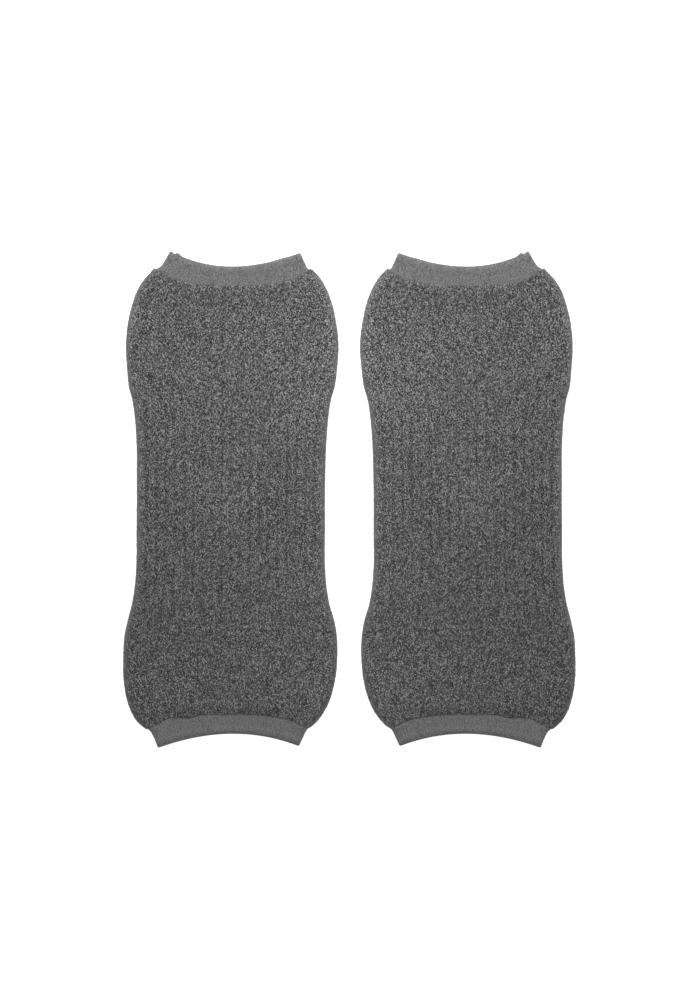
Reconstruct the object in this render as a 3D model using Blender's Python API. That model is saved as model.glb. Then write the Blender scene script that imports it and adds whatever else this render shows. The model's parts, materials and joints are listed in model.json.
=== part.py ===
"""Pair of knee warmers, laid flat side by side on a surface.

Each warmer is a thick knitted tube, open at both ends, pressed flat so that its front lies on its back.
A thin elastic cuff is sewn to each end. The left and the right warmer mirror each other.

The sizes are in millimetres and the objects in metres. +X is the right of the pair, +Y runs from the
shin end to the thigh end, and +Z is up. The origin is under the middle of the pair, on the surface.
"""
import math
from collections import namedtuple

import bmesh
import bpy

MM = 0.001

# Thickness of the cloth, the gap between the front and the back, and the gap at a seam
BODY_WALL = 2.6
BODY_EDGE_WALL = 2.3
TOP_SEAM_WALL = 1.8
BOTTOM_SEAM_WALL = 2.0
CUFF_WALL = 1.6
CUFF_EDGE_WALL = 1.2
LAYER_GAP = 0.8
SEAM_GAP = 0.3

# Side folds, where the front turns round into the back, and how much higher the cloth stands there
BODY_FOLD_REACH = 4.2
CUFF_FOLD_REACH = 2.6
PUFF_RISE = 1.3
PUFF_WIDTH = 7.0
PUFF_SEAM_FADE = 14.0

# The middle of a seam or of an open edge is set back towards the waist by its bow
TOP_EDGE_BOW = 8.8
TOP_SEAM_BOW = 11.0
BOTTOM_SEAM_BOW = 9.0
BOTTOM_EDGE_BOW = 8.0
BOW_FADE = 75.0

# A seam is flat along its middle and turns up near its ends, the more so the higher this power
SEAM_POWER = 3.4

# An open edge is deepest off its middle: to the outer side at the top, to the inner side at the bottom
TOP_EDGE_SKEW = 0.16
BOTTOM_EDGE_SKEW = -0.07

# An open edge also leans: its outer corner lies further from the waist than its inner one
EDGE_LEAN = 0.065

# Folds on the front die out over this length at the seams, and never press the front into the back
FOLD_SEAM_FADE = 4.0
DEEPEST_TROUGH = 0.4

# The body's knit has shallow furrows along the leg, which are deepest round the waist
RIBS_ACROSS_FRONT = 19
WAIST_FURROW = 0.35
END_FURROW = 0.12
FURROW_FADE = 85.0

# Faces round one ring: along the front, along the back, and round each side fold
BODY_FRONT_FACES = 2 * RIBS_ACROSS_FRONT
CUFF_FRONT_FACES = 22
BACK_FACES = 8
FOLD_FACES = 6

# Edges sharper than this, in degrees, are shaded as edges
SHARP_ANGLE = 50.0

# Places of the seams and of the cuffs' open edges along the leg, at the sides
TOP_SEAM = 139.7
BOTTOM_SEAM = -139.0
TOP_EDGE = 150.1
BOTTOM_EDGE = -149.9

# A section is one ring round the tube: its place along the leg, half its flat width, how far its
# middle lies from the mirror line of the pair, and the thickness of the cloth there
Section = namedtuple("Section", "along half_width centre wall")

BODY_SECTIONS = (
    Section(TOP_SEAM, 47.6, 70.6, TOP_SEAM_WALL),
    Section(138.4, 49.2, 70.4, BODY_EDGE_WALL),
    Section(136.3, 51.2, 70.4, BODY_WALL),
    Section(133.0, 53.9, 70.6, BODY_WALL),
    Section(127.0, 57.4, 70.8, BODY_WALL),
    Section(119.0, 60.4, 70.8, BODY_WALL),
    Section(109.0, 62.8, 70.9, BODY_WALL),
    Section(94.0, 64.4, 70.8, BODY_WALL),
    Section(79.0, 63.6, 70.9, BODY_WALL),
    Section(68.0, 62.3, 71.1, BODY_WALL),
    Section(61.0, 60.3, 71.2, BODY_WALL),
    Section(52.0, 58.9, 71.2, BODY_WALL),
    Section(36.0, 57.6, 71.3, BODY_WALL),
    Section(12.0, 57.1, 71.6, BODY_WALL),
    Section(-18.0, 57.1, 71.7, BODY_WALL),
    Section(-42.0, 57.3, 71.8, BODY_WALL),
    Section(-54.0, 58.3, 71.8, BODY_WALL),
    Section(-64.0, 60.1, 71.8, BODY_WALL),
    Section(-73.0, 62.6, 71.6, BODY_WALL),
    Section(-82.0, 64.3, 71.8, BODY_WALL),
    Section(-95.0, 64.9, 72.0, BODY_WALL),
    Section(-109.0, 64.1, 72.6, BODY_WALL),
    Section(-120.0, 61.8, 73.1, BODY_WALL),
    Section(-128.5, 58.4, 73.6, BODY_WALL),
    Section(-134.9, 54.0, 74.0, BODY_WALL),
    Section(-137.4, 51.4, 74.0, BODY_EDGE_WALL),
    Section(BOTTOM_SEAM, 48.9, 74.1, BOTTOM_SEAM_WALL),
)

TOP_CUFF_SECTIONS = (
    Section(TOP_SEAM + SEAM_GAP, 46.1, 70.7, CUFF_WALL),
    Section(141.1, 44.7, 70.2, CUFF_WALL),
    Section(142.5, 43.6, 69.8, CUFF_WALL),
    Section(145.0, 42.0, 69.5, CUFF_WALL),
    Section(148.6, 40.1, 69.2, CUFF_WALL),
    Section(TOP_EDGE, 39.3, 69.1, CUFF_EDGE_WALL),
)

BOTTOM_CUFF_SECTIONS = (
    Section(BOTTOM_SEAM - SEAM_GAP, 48.2, 73.6, CUFF_WALL),
    Section(-140.4, 47.2, 73.3, CUFF_WALL),
    Section(-142.2, 46.1, 73.2, CUFF_WALL),
    Section(-144.7, 44.9, 73.1, CUFF_WALL),
    Section(-148.6, 43.2, 73.2, CUFF_WALL),
    Section(BOTTOM_EDGE, 42.6, 73.2, CUFF_EDGE_WALL),
)

# A fold is a soft ridge on the front, or a trough where its rise is negative. Across is measured from
# the middle of the warmer towards its outer side, and turn, in degrees, from the line of the leg
Fold = namedtuple("Fold", "across along half_length half_width turn rise")

FOLDS = (
    # The long ridge down the middle, with a trough on each side
    Fold(-2.0, 2.0, 42.0, 7.0, 0.0, 0.45),
    Fold(24.0, -8.0, 40.0, 12.0, 4.0, -0.25),
    Fold(-30.0, -14.0, 46.0, 12.0, -5.0, -0.25),
    # Wide troughs across the leg, above the knee
    Fold(22.0, 34.0, 20.0, 5.0, 84.0, -0.35),
    Fold(-24.0, 17.0, 17.0, 5.0, 96.0, -0.35),
    # The trough beside the outer side fold, over the shin
    Fold(50.0, -92.0, 30.0, 5.0, 2.0, -0.40),
    # Gathers where the bottom cuff draws the cloth in
    Fold(40.0, -119.0, 11.0, 5.0, 18.0, 0.80),
    Fold(25.0, -120.0, 12.0, 5.5, 8.0, 0.95),
    Fold(6.0, -116.0, 13.0, 5.5, 3.0, 0.85),
    Fold(-11.0, -118.0, 11.0, 5.0, -4.0, 0.70),
    Fold(-27.0, -119.0, 13.0, 5.5, -10.0, 1.00),
    Fold(-43.0, -120.0, 10.0, 5.0, -20.0, 0.75),
    # Weaker gathers below the top cuff
    Fold(33.0, 121.0, 9.0, 6.0, -14.0, 0.45),
    Fold(7.0, 118.0, 11.0, 7.0, -2.0, 0.40),
    Fold(-24.0, 120.0, 10.0, 6.0, 10.0, 0.50),
)


def smooth_step(value):
    """Rises smoothly from 0 to 1 while the value goes from 0 to 1."""
    held = min(max(value, 0.0), 1.0)
    return held * held * (3.0 - 2.0 * held)


def seam_distance(along):
    """Distance along the leg to the nearer seam of the body."""
    return min(TOP_SEAM - along, along - BOTTOM_SEAM)


# How far up the leg a ring's middle is moved, in a seam's manner and in an open edge's manner
Bow = namedtuple("Bow", "seam edge")


def body_bow(along):
    """Bow of a body ring: the seam's own bow at each seam, and none round the waist."""
    top_share = smooth_step(1.0 - (TOP_SEAM - along) / BOW_FADE)
    bottom_share = smooth_step(1.0 - (along - BOTTOM_SEAM) / BOW_FADE)
    return Bow(BOTTOM_SEAM_BOW * bottom_share - TOP_SEAM_BOW * top_share, 0.0)


def top_cuff_bow(along):
    """Bow of a top cuff ring, which goes evenly from the seam's to the open edge's."""
    share = (along - TOP_SEAM) / (TOP_EDGE - TOP_SEAM)
    return Bow(-TOP_SEAM_BOW * (1.0 - share), -TOP_EDGE_BOW * share)


def bottom_cuff_bow(along):
    """Bow of a bottom cuff ring, which goes evenly from the seam's to the open edge's."""
    share = (along - BOTTOM_SEAM) / (BOTTOM_EDGE - BOTTOM_SEAM)
    return Bow(BOTTOM_SEAM_BOW * (1.0 - share), BOTTOM_EDGE_BOW * share)


def body_furrow(along):
    """Depth of the furrows between the body's ribs. They die out at the seams."""
    depth = END_FURROW + (WAIST_FURROW - END_FURROW) * math.exp(-(along / FURROW_FADE) ** 2)
    return depth * smooth_step(seam_distance(along) / FOLD_SEAM_FADE)


def no_furrow(along):
    """The cuffs' knit is too fine to show furrows in its shape."""
    return 0.0


def fold_rise(across, along):
    """Rise of all the folds together at one place on the front."""
    total = 0.0
    for fold in FOLDS:
        turn = math.radians(fold.turn)
        away_across = across - fold.across
        away_along = along - fold.along
        lengthways = away_along * math.cos(turn) + away_across * math.sin(turn)
        sideways = away_across * math.cos(turn) - away_along * math.sin(turn)
        distance = (lengthways / fold.half_length) ** 2 + (sideways / fold.half_width) ** 2
        total += fold.rise * math.exp(-distance)
    return total


def cuff_height(section, across, along):
    """Height of a cuff over the surface: two walls and the gap between them."""
    return 2.0 * section.wall + LAYER_GAP


def body_height(section, across, along):
    """Height of the body's front: two walls, the gap, the puffed side folds, and the folds in the cloth."""
    from_side = section.half_width - BODY_FOLD_REACH - abs(across)
    puff = PUFF_RISE * math.exp(-(from_side / PUFF_WIDTH) ** 2)
    puff *= smooth_step(seam_distance(section.along) / PUFF_SEAM_FADE)
    folds = max(fold_rise(across, along), -DEEPEST_TROUGH)
    folds *= smooth_step(seam_distance(section.along) / FOLD_SEAM_FADE)
    return 2.0 * section.wall + LAYER_GAP + puff + folds


# A kind of piece: its rings, their bow, height and furrows, the reach of its side folds, and the
# number of faces across its front
Piece = namedtuple("Piece", "sections bow_at height_at furrow_at fold_reach front_faces material")

PIECES = {
    "body": Piece(BODY_SECTIONS, body_bow, body_height, body_furrow,
                  BODY_FOLD_REACH, BODY_FRONT_FACES, "plush_knit"),
    "top_cuff": Piece(TOP_CUFF_SECTIONS, top_cuff_bow, cuff_height, no_furrow,
                      CUFF_FOLD_REACH, CUFF_FRONT_FACES, "cuff_knit"),
    "bottom_cuff": Piece(BOTTOM_CUFF_SECTIONS, bottom_cuff_bow, cuff_height, no_furrow,
                         CUFF_FOLD_REACH, CUFF_FRONT_FACES, "cuff_knit"),
}

# The outer side of each warmer points this way along X
SIDES = {"left": -1.0, "right": 1.0}

# Colour and roughness of the two knits
Finish = namedtuple("Finish", "colour roughness")

FINISHES = {
    "plush_knit": Finish((0.115, 0.115, 0.115, 1.0), 0.95),
    "cuff_knit": Finish((0.165, 0.165, 0.165, 1.0), 0.85),
}


def place_along(piece, section, across):
    """Place along the leg of one point of a ring, whose middle is set back by the bow."""
    share = across / section.half_width
    skew = TOP_EDGE_SKEW if section.along > 0.0 else BOTTOM_EDGE_SKEW
    seam_arch = 1.0 - abs(share) ** SEAM_POWER
    edge_arch = (1.0 - share * share) * (1.0 + skew * share) - EDGE_LEAN * share
    bow = piece.bow_at(section.along)
    return section.along + bow.seam * seam_arch + bow.edge * edge_arch


def ring_profile(piece, section, inset, furrow):
    """Across and height of the points round one ring: front, outer fold, back, inner fold.

    An inset of 0 gives the outer face of the cloth, and its thickness gives the inner face. Every
    other point of the front lies in a furrow.
    """
    flat_half = section.half_width - piece.fold_reach

    def front_height(across):
        return piece.height_at(section, across, place_along(piece, section, across))

    def fold_points(direction, first_angle):
        middle = 0.5 * front_height(direction * flat_half)
        points = []
        for step in range(1, FOLD_FACES):
            angle = first_angle - math.pi * step / FOLD_FACES
            across = direction * flat_half + (piece.fold_reach - inset) * math.cos(angle)
            points.append((across, middle + (middle - inset) * math.sin(angle)))
        return points

    front = []
    for step in range(piece.front_faces + 1):
        across = flat_half * (2.0 * step / piece.front_faces - 1.0)
        front.append((across, front_height(across) - inset - furrow * (step % 2)))
    back = [(flat_half * (1.0 - 2.0 * step / BACK_FACES), inset) for step in range(BACK_FACES + 1)]
    outer_fold = fold_points(1.0, 0.5 * math.pi)
    inner_fold = fold_points(-1.0, 1.5 * math.pi)
    return front + outer_fold + back + inner_fold


def ring_points(piece, section, side, inset, furrow):
    """The same ring as points in metres, bowed along the leg and set beside the mirror line."""
    points = []
    for across, height in ring_profile(piece, section, inset, furrow):
        along = place_along(piece, section, across)
        points.append((side * (section.centre + across) * MM, along * MM, height * MM))
    return points


def tube_wall(name, piece, side):
    """One knitted tube as a closed wall: the rings of its outer face, then those of its plain inside."""
    outer = []
    inner = []
    for section in piece.sections:
        outer.append(ring_points(piece, section, side, 0.0, piece.furrow_at(section.along)))
        inner.append(ring_points(piece, section, side, section.wall, 0.0))
    rings = outer + inner[::-1]

    cloth = bmesh.new()
    ring_verts = [[cloth.verts.new(point) for point in ring] for ring in rings]
    for number, this_ring in enumerate(ring_verts):
        next_ring = ring_verts[(number + 1) % len(ring_verts)]
        for place in range(len(this_ring)):
            after = (place + 1) % len(this_ring)
            cloth.faces.new((this_ring[place], this_ring[after], next_ring[after], next_ring[place]))
    bmesh.ops.recalc_face_normals(cloth, faces=cloth.faces)

    mesh = bpy.data.meshes.new(name)
    cloth.to_mesh(mesh)
    cloth.free()
    mesh.shade_smooth()
    mesh.set_sharp_from_angle(angle=math.radians(SHARP_ANGLE))
    return mesh


def knit_material(name):
    """A matt knit of one colour."""
    finish = FINISHES[name]
    material = bpy.data.materials.new(name)
    material.use_nodes = True
    shader = material.node_tree.nodes["Principled BSDF"]
    shader.inputs["Base Color"].default_value = finish.colour
    shader.inputs["Roughness"].default_value = finish.roughness
    shader.inputs["Metallic"].default_value = 0.0
    material.diffuse_color = finish.colour
    return material


def main():
    for old in list(bpy.data.objects):
        bpy.data.objects.remove(old)

    materials = {name: knit_material(name) for name in FINISHES}
    for side_name, side in SIDES.items():
        for piece_name, piece in PIECES.items():
            name = side_name + "_" + piece_name
            mesh = tube_wall(name, piece, side)
            mesh.materials.append(materials[piece.material])
            bpy.context.collection.objects.link(bpy.data.objects.new(name, mesh))


main()
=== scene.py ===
# %% [markdown]
# # A pair of knee warmers, knitted in the round and laid flat
# Each warmer is a seamless tube of thick looped knit in marled grey, with a thin elastic cuff sewn to
# each end. Both lie on a pale surface, and the front of each tube rests on its back.
# The tubes could be draped by a cloth simulation, or their knit could be painted on the plain solids.
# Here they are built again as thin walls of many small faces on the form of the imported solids, because
# their outline and creases are known, and because the loops of the knit have to be real at the edges.

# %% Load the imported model
import json
from collections import namedtuple

import bpy
import numpy as np
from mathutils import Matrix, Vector

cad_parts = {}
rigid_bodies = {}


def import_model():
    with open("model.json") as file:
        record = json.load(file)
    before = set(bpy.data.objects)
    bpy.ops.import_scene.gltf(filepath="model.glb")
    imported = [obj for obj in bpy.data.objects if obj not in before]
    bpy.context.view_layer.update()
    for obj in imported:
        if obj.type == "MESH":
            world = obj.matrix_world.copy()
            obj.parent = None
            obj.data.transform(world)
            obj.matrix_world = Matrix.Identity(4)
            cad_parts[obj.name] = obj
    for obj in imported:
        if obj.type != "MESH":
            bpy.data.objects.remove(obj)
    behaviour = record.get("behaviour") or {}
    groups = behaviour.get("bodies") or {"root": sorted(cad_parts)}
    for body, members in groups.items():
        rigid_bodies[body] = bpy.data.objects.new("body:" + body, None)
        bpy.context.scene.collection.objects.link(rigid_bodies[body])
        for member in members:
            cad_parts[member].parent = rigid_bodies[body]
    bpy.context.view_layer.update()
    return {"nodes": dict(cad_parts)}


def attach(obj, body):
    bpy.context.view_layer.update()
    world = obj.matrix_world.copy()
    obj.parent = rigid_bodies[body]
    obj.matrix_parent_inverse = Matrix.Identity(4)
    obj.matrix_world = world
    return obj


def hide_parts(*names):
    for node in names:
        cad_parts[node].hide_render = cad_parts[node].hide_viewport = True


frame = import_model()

MM = 0.001
CM = 0.01
print("solids in the frame:", ", ".join(sorted(frame["nodes"])))

# %% [markdown]
# ## The shape of the tubes
# A maker shapes such a tube by adding and dropping stitches, so it is wide over the thigh, narrow
# behind the knee and wide again over the shin. A short table describes it best: a row for each place
# where the width changes, in millimetres. The solids were built from the same tables but for the ends,
# where they stop short of each other. Here the body laps over each cuff, and each cuff goes on a little
# way inside the body, as at the seam of the real one, so that no gap opens between them from any side.

# %% Rings of the looped body
TOP_SEAM = 139.7
BOTTOM_SEAM = -139.0
BODY_WALL = 2.6
SEAM_LAP = 0.7

# Of each ring: its place along the leg, half its flat width, how far its middle is from the pair's
# mirror line, and its wall
Section = namedtuple("Section", "along half_width centre wall")

BODY_SECTIONS = (
    Section(BOTTOM_SEAM - SEAM_LAP, 48.5, 73.9, 2.0),
    Section(BOTTOM_SEAM, 49.3, 74.1, 2.0),
    Section(-137.4, 51.4, 74.0, 2.3),
    Section(-134.9, 54.0, 74.0, BODY_WALL),
    Section(-128.5, 58.4, 73.6, BODY_WALL),
    Section(-120.0, 61.8, 73.1, BODY_WALL),
    Section(-109.0, 64.1, 72.6, BODY_WALL),
    Section(-95.0, 64.9, 72.0, BODY_WALL),
    Section(-82.0, 64.3, 71.8, BODY_WALL),
    Section(-73.0, 62.6, 71.6, BODY_WALL),
    Section(-64.0, 60.1, 71.8, BODY_WALL),
    Section(-54.0, 58.3, 71.8, BODY_WALL),
    Section(-42.0, 57.3, 71.8, BODY_WALL),
    Section(-18.0, 57.1, 71.7, BODY_WALL),
    Section(12.0, 57.1, 71.6, BODY_WALL),
    Section(36.0, 57.6, 71.3, BODY_WALL),
    Section(52.0, 58.9, 71.2, BODY_WALL),
    Section(61.0, 60.3, 71.2, BODY_WALL),
    Section(68.0, 62.3, 71.1, BODY_WALL),
    Section(79.0, 63.6, 70.9, BODY_WALL),
    Section(94.0, 64.4, 70.8, BODY_WALL),
    Section(109.0, 62.8, 70.9, BODY_WALL),
    Section(119.0, 60.4, 70.8, BODY_WALL),
    Section(127.0, 57.4, 70.8, BODY_WALL),
    Section(133.0, 53.9, 70.6, BODY_WALL),
    Section(136.3, 51.2, 70.4, BODY_WALL),
    Section(138.4, 49.2, 70.4, 2.3),
    Section(TOP_SEAM, 47.9, 70.6, 2.1),
    Section(TOP_SEAM + SEAM_LAP, 46.9, 70.7, 2.0),
)
print("body:", len(BODY_SECTIONS), "rings over", TOP_SEAM - BOTTOM_SEAM, "mm")

# %% Rings of the two cuffs
TOP_EDGE = 150.1
BOTTOM_EDGE = -149.9
SEAM_TUCK = 1.3

TOP_CUFF_SECTIONS = (
    Section(TOP_SEAM - SEAM_TUCK, 47.6, 70.5, 1.2),
    Section(140.0, 46.1, 70.6, 1.6),
    Section(141.1, 44.7, 70.2, 1.6),
    Section(142.5, 43.6, 69.8, 1.6),
    Section(145.0, 42.0, 69.5, 1.6),
    Section(148.6, 40.1, 69.2, 1.6),
    Section(TOP_EDGE, 39.3, 69.1, 1.2),
)
BOTTOM_CUFF_SECTIONS = (
    Section(BOTTOM_EDGE, 42.6, 73.2, 1.2),
    Section(-148.6, 43.2, 73.2, 1.6),
    Section(-144.7, 44.9, 73.1, 1.6),
    Section(-142.2, 46.1, 73.2, 1.6),
    Section(-140.4, 47.2, 73.3, 1.6),
    Section(-139.3, 48.2, 73.6, 1.6),
    Section(BOTTOM_SEAM + SEAM_TUCK, 49.6, 73.8, 1.2),
)
print("cuffs:", TOP_EDGE - TOP_SEAM, "and", BOTTOM_SEAM - BOTTOM_EDGE, "mm deep at the sides")

# %% [markdown]
# ## From a table to a smooth outline
# Cloth has no corners between its rings. A subdivision surface would round them but pull the outline
# inwards, so a curve is drawn through the rings themselves: between two rings it follows the slope
# that their neighbours give it.

# %% Smooth curve through a table
FINE_ROWS = 4000


def smooth_table(table):
    """Many rows of a table, on a smooth curve that passes through every row given."""
    marks = np.array(table, float)
    steps = np.hypot(np.diff(marks[:, 0]), np.diff(marks[:, 1]))
    reach = np.concatenate(([0.0], np.cumsum(steps)))
    slopes = np.gradient(marks, reach, axis=0)
    place = np.linspace(0.0, reach[-1], FINE_ROWS)
    span = np.clip(np.searchsorted(reach, place, side="right") - 1, 0, len(steps) - 1)
    length = steps[span][:, None]
    share = (place - reach[span])[:, None] / length
    from_start = (1.0 + 2.0 * share) * (1.0 - share) ** 2 * marks[span]
    from_end = share ** 2 * (3.0 - 2.0 * share) * marks[span + 1]
    leaving = share * (1.0 - share) ** 2 * length * slopes[span]
    arriving = share ** 2 * (share - 1.0) * length * slopes[span + 1]
    return from_start + leaving + from_end + arriving


body_curve = smooth_table(BODY_SECTIONS)
print("widest place of a body: %.1f mm" % (2.0 * body_curve[:, 1].max()))

# %% Bow of the seams and of the open edges
BOW_FADE = 75.0
TOP_EDGE_BOW = 8.8
TOP_SEAM_BOW = 11.0
BOTTOM_SEAM_BOW = 9.0
BOTTOM_EDGE_BOW = 8.0
SEAM_POWER = 3.4
TOP_EDGE_SKEW = 0.16
BOTTOM_EDGE_SKEW = -0.07
EDGE_LEAN = 0.065

# How far up the leg a ring's middle is moved, in a seam's manner and in an open edge's manner
Bow = namedtuple("Bow", "seam edge")


def smooth_step(value):
    """Rises smoothly from 0 to 1 while the value goes from 0 to 1."""
    held = np.clip(value, 0.0, 1.0)
    return held * held * (3.0 - 2.0 * held)


def body_bow(along):
    """Bow of the body's rings, which fades out at the waist."""
    top_share = smooth_step(1.0 - (TOP_SEAM - along) / BOW_FADE)
    bottom_share = smooth_step(1.0 - (along - BOTTOM_SEAM) / BOW_FADE)
    return Bow(BOTTOM_SEAM_BOW * bottom_share - TOP_SEAM_BOW * top_share, 0.0)


def top_cuff_bow(along):
    """Bow of the thigh cuff's rings, from its seam to its open edge."""
    share = (along - TOP_SEAM) / (TOP_EDGE - TOP_SEAM)
    return Bow(-TOP_SEAM_BOW * (1.0 - share), -TOP_EDGE_BOW * share)


def bottom_cuff_bow(along):
    """Bow of the shin cuff's rings, from its seam to its open edge."""
    share = (along - BOTTOM_SEAM) / (BOTTOM_EDGE - BOTTOM_SEAM)
    return Bow(BOTTOM_SEAM_BOW * (1.0 - share), BOTTOM_EDGE_BOW * share)


def place_along(along, bow, across_share):
    """Place along the leg of a point of a ring, -1 to 1 across it, after the ring is bowed."""
    skew = np.where(along > 0.0, TOP_EDGE_SKEW, BOTTOM_EDGE_SKEW)
    seam_arch = 1.0 - np.abs(across_share) ** SEAM_POWER
    edge_arch = (1.0 - across_share ** 2) * (1.0 + skew * across_share) - EDGE_LEAN * across_share
    return along + bow.seam * seam_arch + bow.edge * edge_arch


print("length down the middle of the front: %.1f mm"
      % (TOP_SEAM - TOP_SEAM_BOW - BOTTOM_SEAM - BOTTOM_SEAM_BOW))

# %% [markdown]
# ## Rows of the wall
# The cloth is a wall with an outer face, an inner face and a rim at each end. One list of rows can go
# round all four, so that the wall is closed without any mending: up the outside, over the top rim,
# down the inside and over the bottom rim. The inside hardly shows, so it gets far fewer rows.

# %% Rows round a wall
RIM_STEPS = 6
INNER_PITCH = 10.0

# What a row needs: the four values of its section, how deep in the wall it lies, from 0 outside to 1
# inside, its running length down the middle, and the number of rows that lie on the outer face
Rows = namedtuple("Rows", "along half_width centre wall depth length outer_count")


def wall_rows(table, bow_at, pitch, low_rim, high_rim):
    """Rows round a closed wall, evenly spaced down the middle of its outer face."""
    fine = smooth_table(table)
    fine = fine[np.argsort(fine[:, 0])]
    fine_middle = place_along(fine[:, 0], bow_at(fine[:, 0]), 0.0)
    low = fine[0, 0] + low_rim
    high = fine[-1, 0] - high_rim

    def rows_up(spacing):
        first, last = np.interp((low, high), fine[:, 0], fine_middle)
        count = max(round((last - first) / spacing), 1) + 1
        return np.interp(np.linspace(first, last, count), fine_middle, fine[:, 0])

    outer = rows_up(pitch)
    inner = rows_up(INNER_PITCH)[::-1]
    angle = np.pi * np.arange(1, RIM_STEPS) / RIM_STEPS
    over_top = high + high_rim * np.sin(angle)
    under_bottom = low - low_rim * np.sin(angle)
    rounding = 0.5 - 0.5 * np.cos(angle)

    along = np.concatenate((outer, over_top, inner, under_bottom))
    depth = np.concatenate((np.zeros(len(outer)), rounding, np.ones(len(inner)), rounding[::-1]))
    half_width, centre, wall = (np.interp(along, fine[:, 0], column) for column in fine.T[1:])
    middle = place_along(along, bow_at(along), 0.0)
    middle = np.append(middle, middle[0])
    sink = np.append(depth * wall, 0.0)
    length = np.concatenate(([0.0], np.cumsum(np.hypot(np.diff(middle), np.diff(sink)))))
    upright = [values[:, None] for values in (along, half_width, centre, wall, depth)]
    return Rows(*upright, length, len(outer))


BODY_ROW_PITCH = 0.62
BODY_RIMS = (0.9, 0.35)
body_rows = wall_rows(BODY_SECTIONS, body_bow, BODY_ROW_PITCH, *BODY_RIMS)
print("rows of a body:", len(body_rows.along), "of which outside:", body_rows.outer_count)

# %% [markdown]
# ## Creases, listed one by one
# Flat knit keeps soft ridges and troughs: one long ridge down the middle, wide dents over the knee,
# and short gathers where a cuff draws the wide cloth in. Each is a small hill of its own size and
# turn, so the list reads like notes taken from the cloth, and none looks like its neighbour.

# %% Ridges and troughs on the front
DEEPEST_TROUGH = 0.4

# Across is measured from the middle of the warmer to its outer side, and turn from the leg's line
Fold = namedtuple("Fold", "across along half_length half_width turn rise")

FOLDS = (
    Fold(-2.0, 2.0, 42.0, 7.0, 0.0, 0.45),
    Fold(24.0, -8.0, 40.0, 12.0, 4.0, -0.25),
    Fold(-30.0, -14.0, 46.0, 12.0, -5.0, -0.25),
    Fold(22.0, 34.0, 20.0, 5.0, 84.0, -0.35),
    Fold(-24.0, 17.0, 17.0, 5.0, 96.0, -0.35),
    Fold(50.0, -92.0, 30.0, 5.0, 2.0, -0.40),
    Fold(40.0, -119.0, 11.0, 5.0, 18.0, 0.80),
    Fold(25.0, -120.0, 12.0, 5.5, 8.0, 0.95),
    Fold(6.0, -116.0, 13.0, 5.5, 3.0, 0.85),
    Fold(-11.0, -118.0, 11.0, 5.0, -4.0, 0.70),
    Fold(-27.0, -119.0, 13.0, 5.5, -10.0, 1.00),
    Fold(-43.0, -120.0, 10.0, 5.0, -20.0, 0.75),
    Fold(33.0, 121.0, 9.0, 6.0, -14.0, 0.45),
    Fold(7.0, 118.0, 11.0, 7.0, -2.0, 0.40),
    Fold(-24.0, 120.0, 10.0, 6.0, 10.0, 0.50),
    Fold(-30.0, 48.5, 17.0, 5.5, 90.0, 0.60),
)


def crease_rise(across, along):
    """Rise of all creases together over the plain front."""
    total = np.zeros(np.broadcast(across, along).shape)
    for fold in FOLDS:
        turn = np.radians(fold.turn)
        away_across = across - fold.across
        away_along = along - fold.along
        lengthways = away_along * np.cos(turn) + away_across * np.sin(turn)
        sideways = away_across * np.cos(turn) - away_along * np.sin(turn)
        distance = (lengthways / fold.half_length) ** 2 + (sideways / fold.half_width) ** 2
        total += fold.rise * np.exp(-distance)
    return np.maximum(total, -DEEPEST_TROUGH)


print("creases on each front:", len(FOLDS))

# %% Height of the front
LAYER_GAP = 0.8
BODY_FOLD_REACH = 4.2
PUFF_RISE = 1.3
PUFF_WIDTH = 7.0
PUFF_SEAM_FADE = 14.0
FOLD_SEAM_FADE = 4.0


def seam_distance(along):
    """Distance along the leg to the nearer seam."""
    return np.minimum(TOP_SEAM - along, along - BOTTOM_SEAM)


def body_height(rows, across, along):
    """Height of the body's front: two walls, the gap, the puffed sides and the creases."""
    from_side = rows.half_width - BODY_FOLD_REACH - np.abs(across)
    puff = PUFF_RISE * np.exp(-(from_side / PUFF_WIDTH) ** 2)
    puff = puff * smooth_step(seam_distance(rows.along) / PUFF_SEAM_FADE)
    creases = crease_rise(across, along) * smooth_step(seam_distance(rows.along) / FOLD_SEAM_FADE)
    return 2.0 * rows.wall + LAYER_GAP + puff + creases


def cuff_height(rows, across, along):
    """Height of a cuff, the same all across: two walls and the gap between them."""
    return 2.0 * rows.wall + LAYER_GAP


print("gap between front and back:", LAYER_GAP, "mm, and more under the puffed sides")

# %% [markdown]
# ## Laying the tube flat
# A tube that is pressed flat has a front, a back that rests on the surface, and a round fold at each
# side. Every place round it is a share of one turn: 0 is the middle of the back, a quarter the inner
# side, a half the middle of the front and three quarters the outer side. The knit keeps the same
# number of stitches in every ring, so equal shares give columns that spread and narrow with the tube.

# %% Points of a flattened tube
SIDES = {"left": -1.0, "right": 1.0}
INNER_SIDE = 0.25
FRONT = 0.5
OUTER_SIDE = 0.75


def half_girth(rows, fold_reach):
    """Length of cloth from the middle of the front round to the middle of the back."""
    fold_height = rows.wall + 0.5 * (LAYER_GAP + PUFF_RISE)
    quarter = 0.5 * np.pi * np.sqrt(0.5 * (fold_reach ** 2 + fold_height ** 2))
    return 2.0 * (rows.half_width - fold_reach + quarter)


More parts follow.
